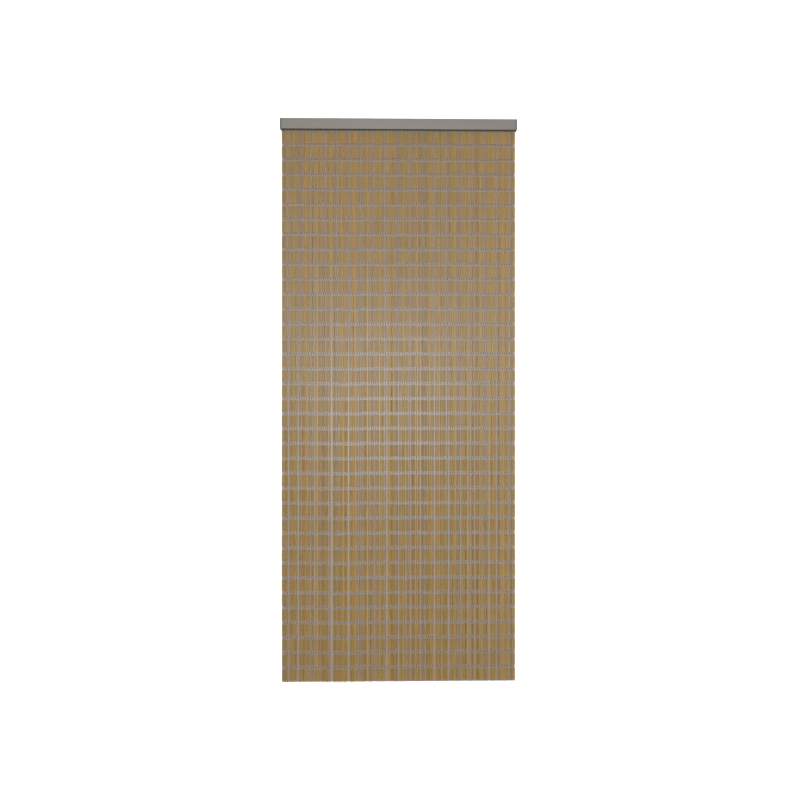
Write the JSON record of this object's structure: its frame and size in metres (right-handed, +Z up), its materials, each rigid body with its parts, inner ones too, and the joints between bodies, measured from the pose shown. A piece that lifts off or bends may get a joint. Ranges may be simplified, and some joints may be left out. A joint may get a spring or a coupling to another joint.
{
  "type": "tube fly curtain with header rail",
  "caption": "Door fly curtain of amber plastic tubes linked by wire eyes, hanging as close strands from a satin aluminium channel rail with grey end caps.",
  "frame": {"origin": "middle of the rail's back face, which lies on the wall above the doorway", "axes": "+Z up; +Y into the wall, so the curtain is seen from -Y; +X along the rail, to the right of someone facing the curtain"},
  "size_m": [0.9, 0.026, 2.1466],
  "materials": {
    "rail_aluminium": "satin",
    "cap_plastic": "matt",
    "tube_amber": "glossy, translucent"
  },
  "bodies": {
    "root": {"rail": "rail_aluminium", "end_cap_left": "cap_plastic", "end_cap_right": "cap_plastic", "strands": "tube_amber"}
  },
  "joints": []
}
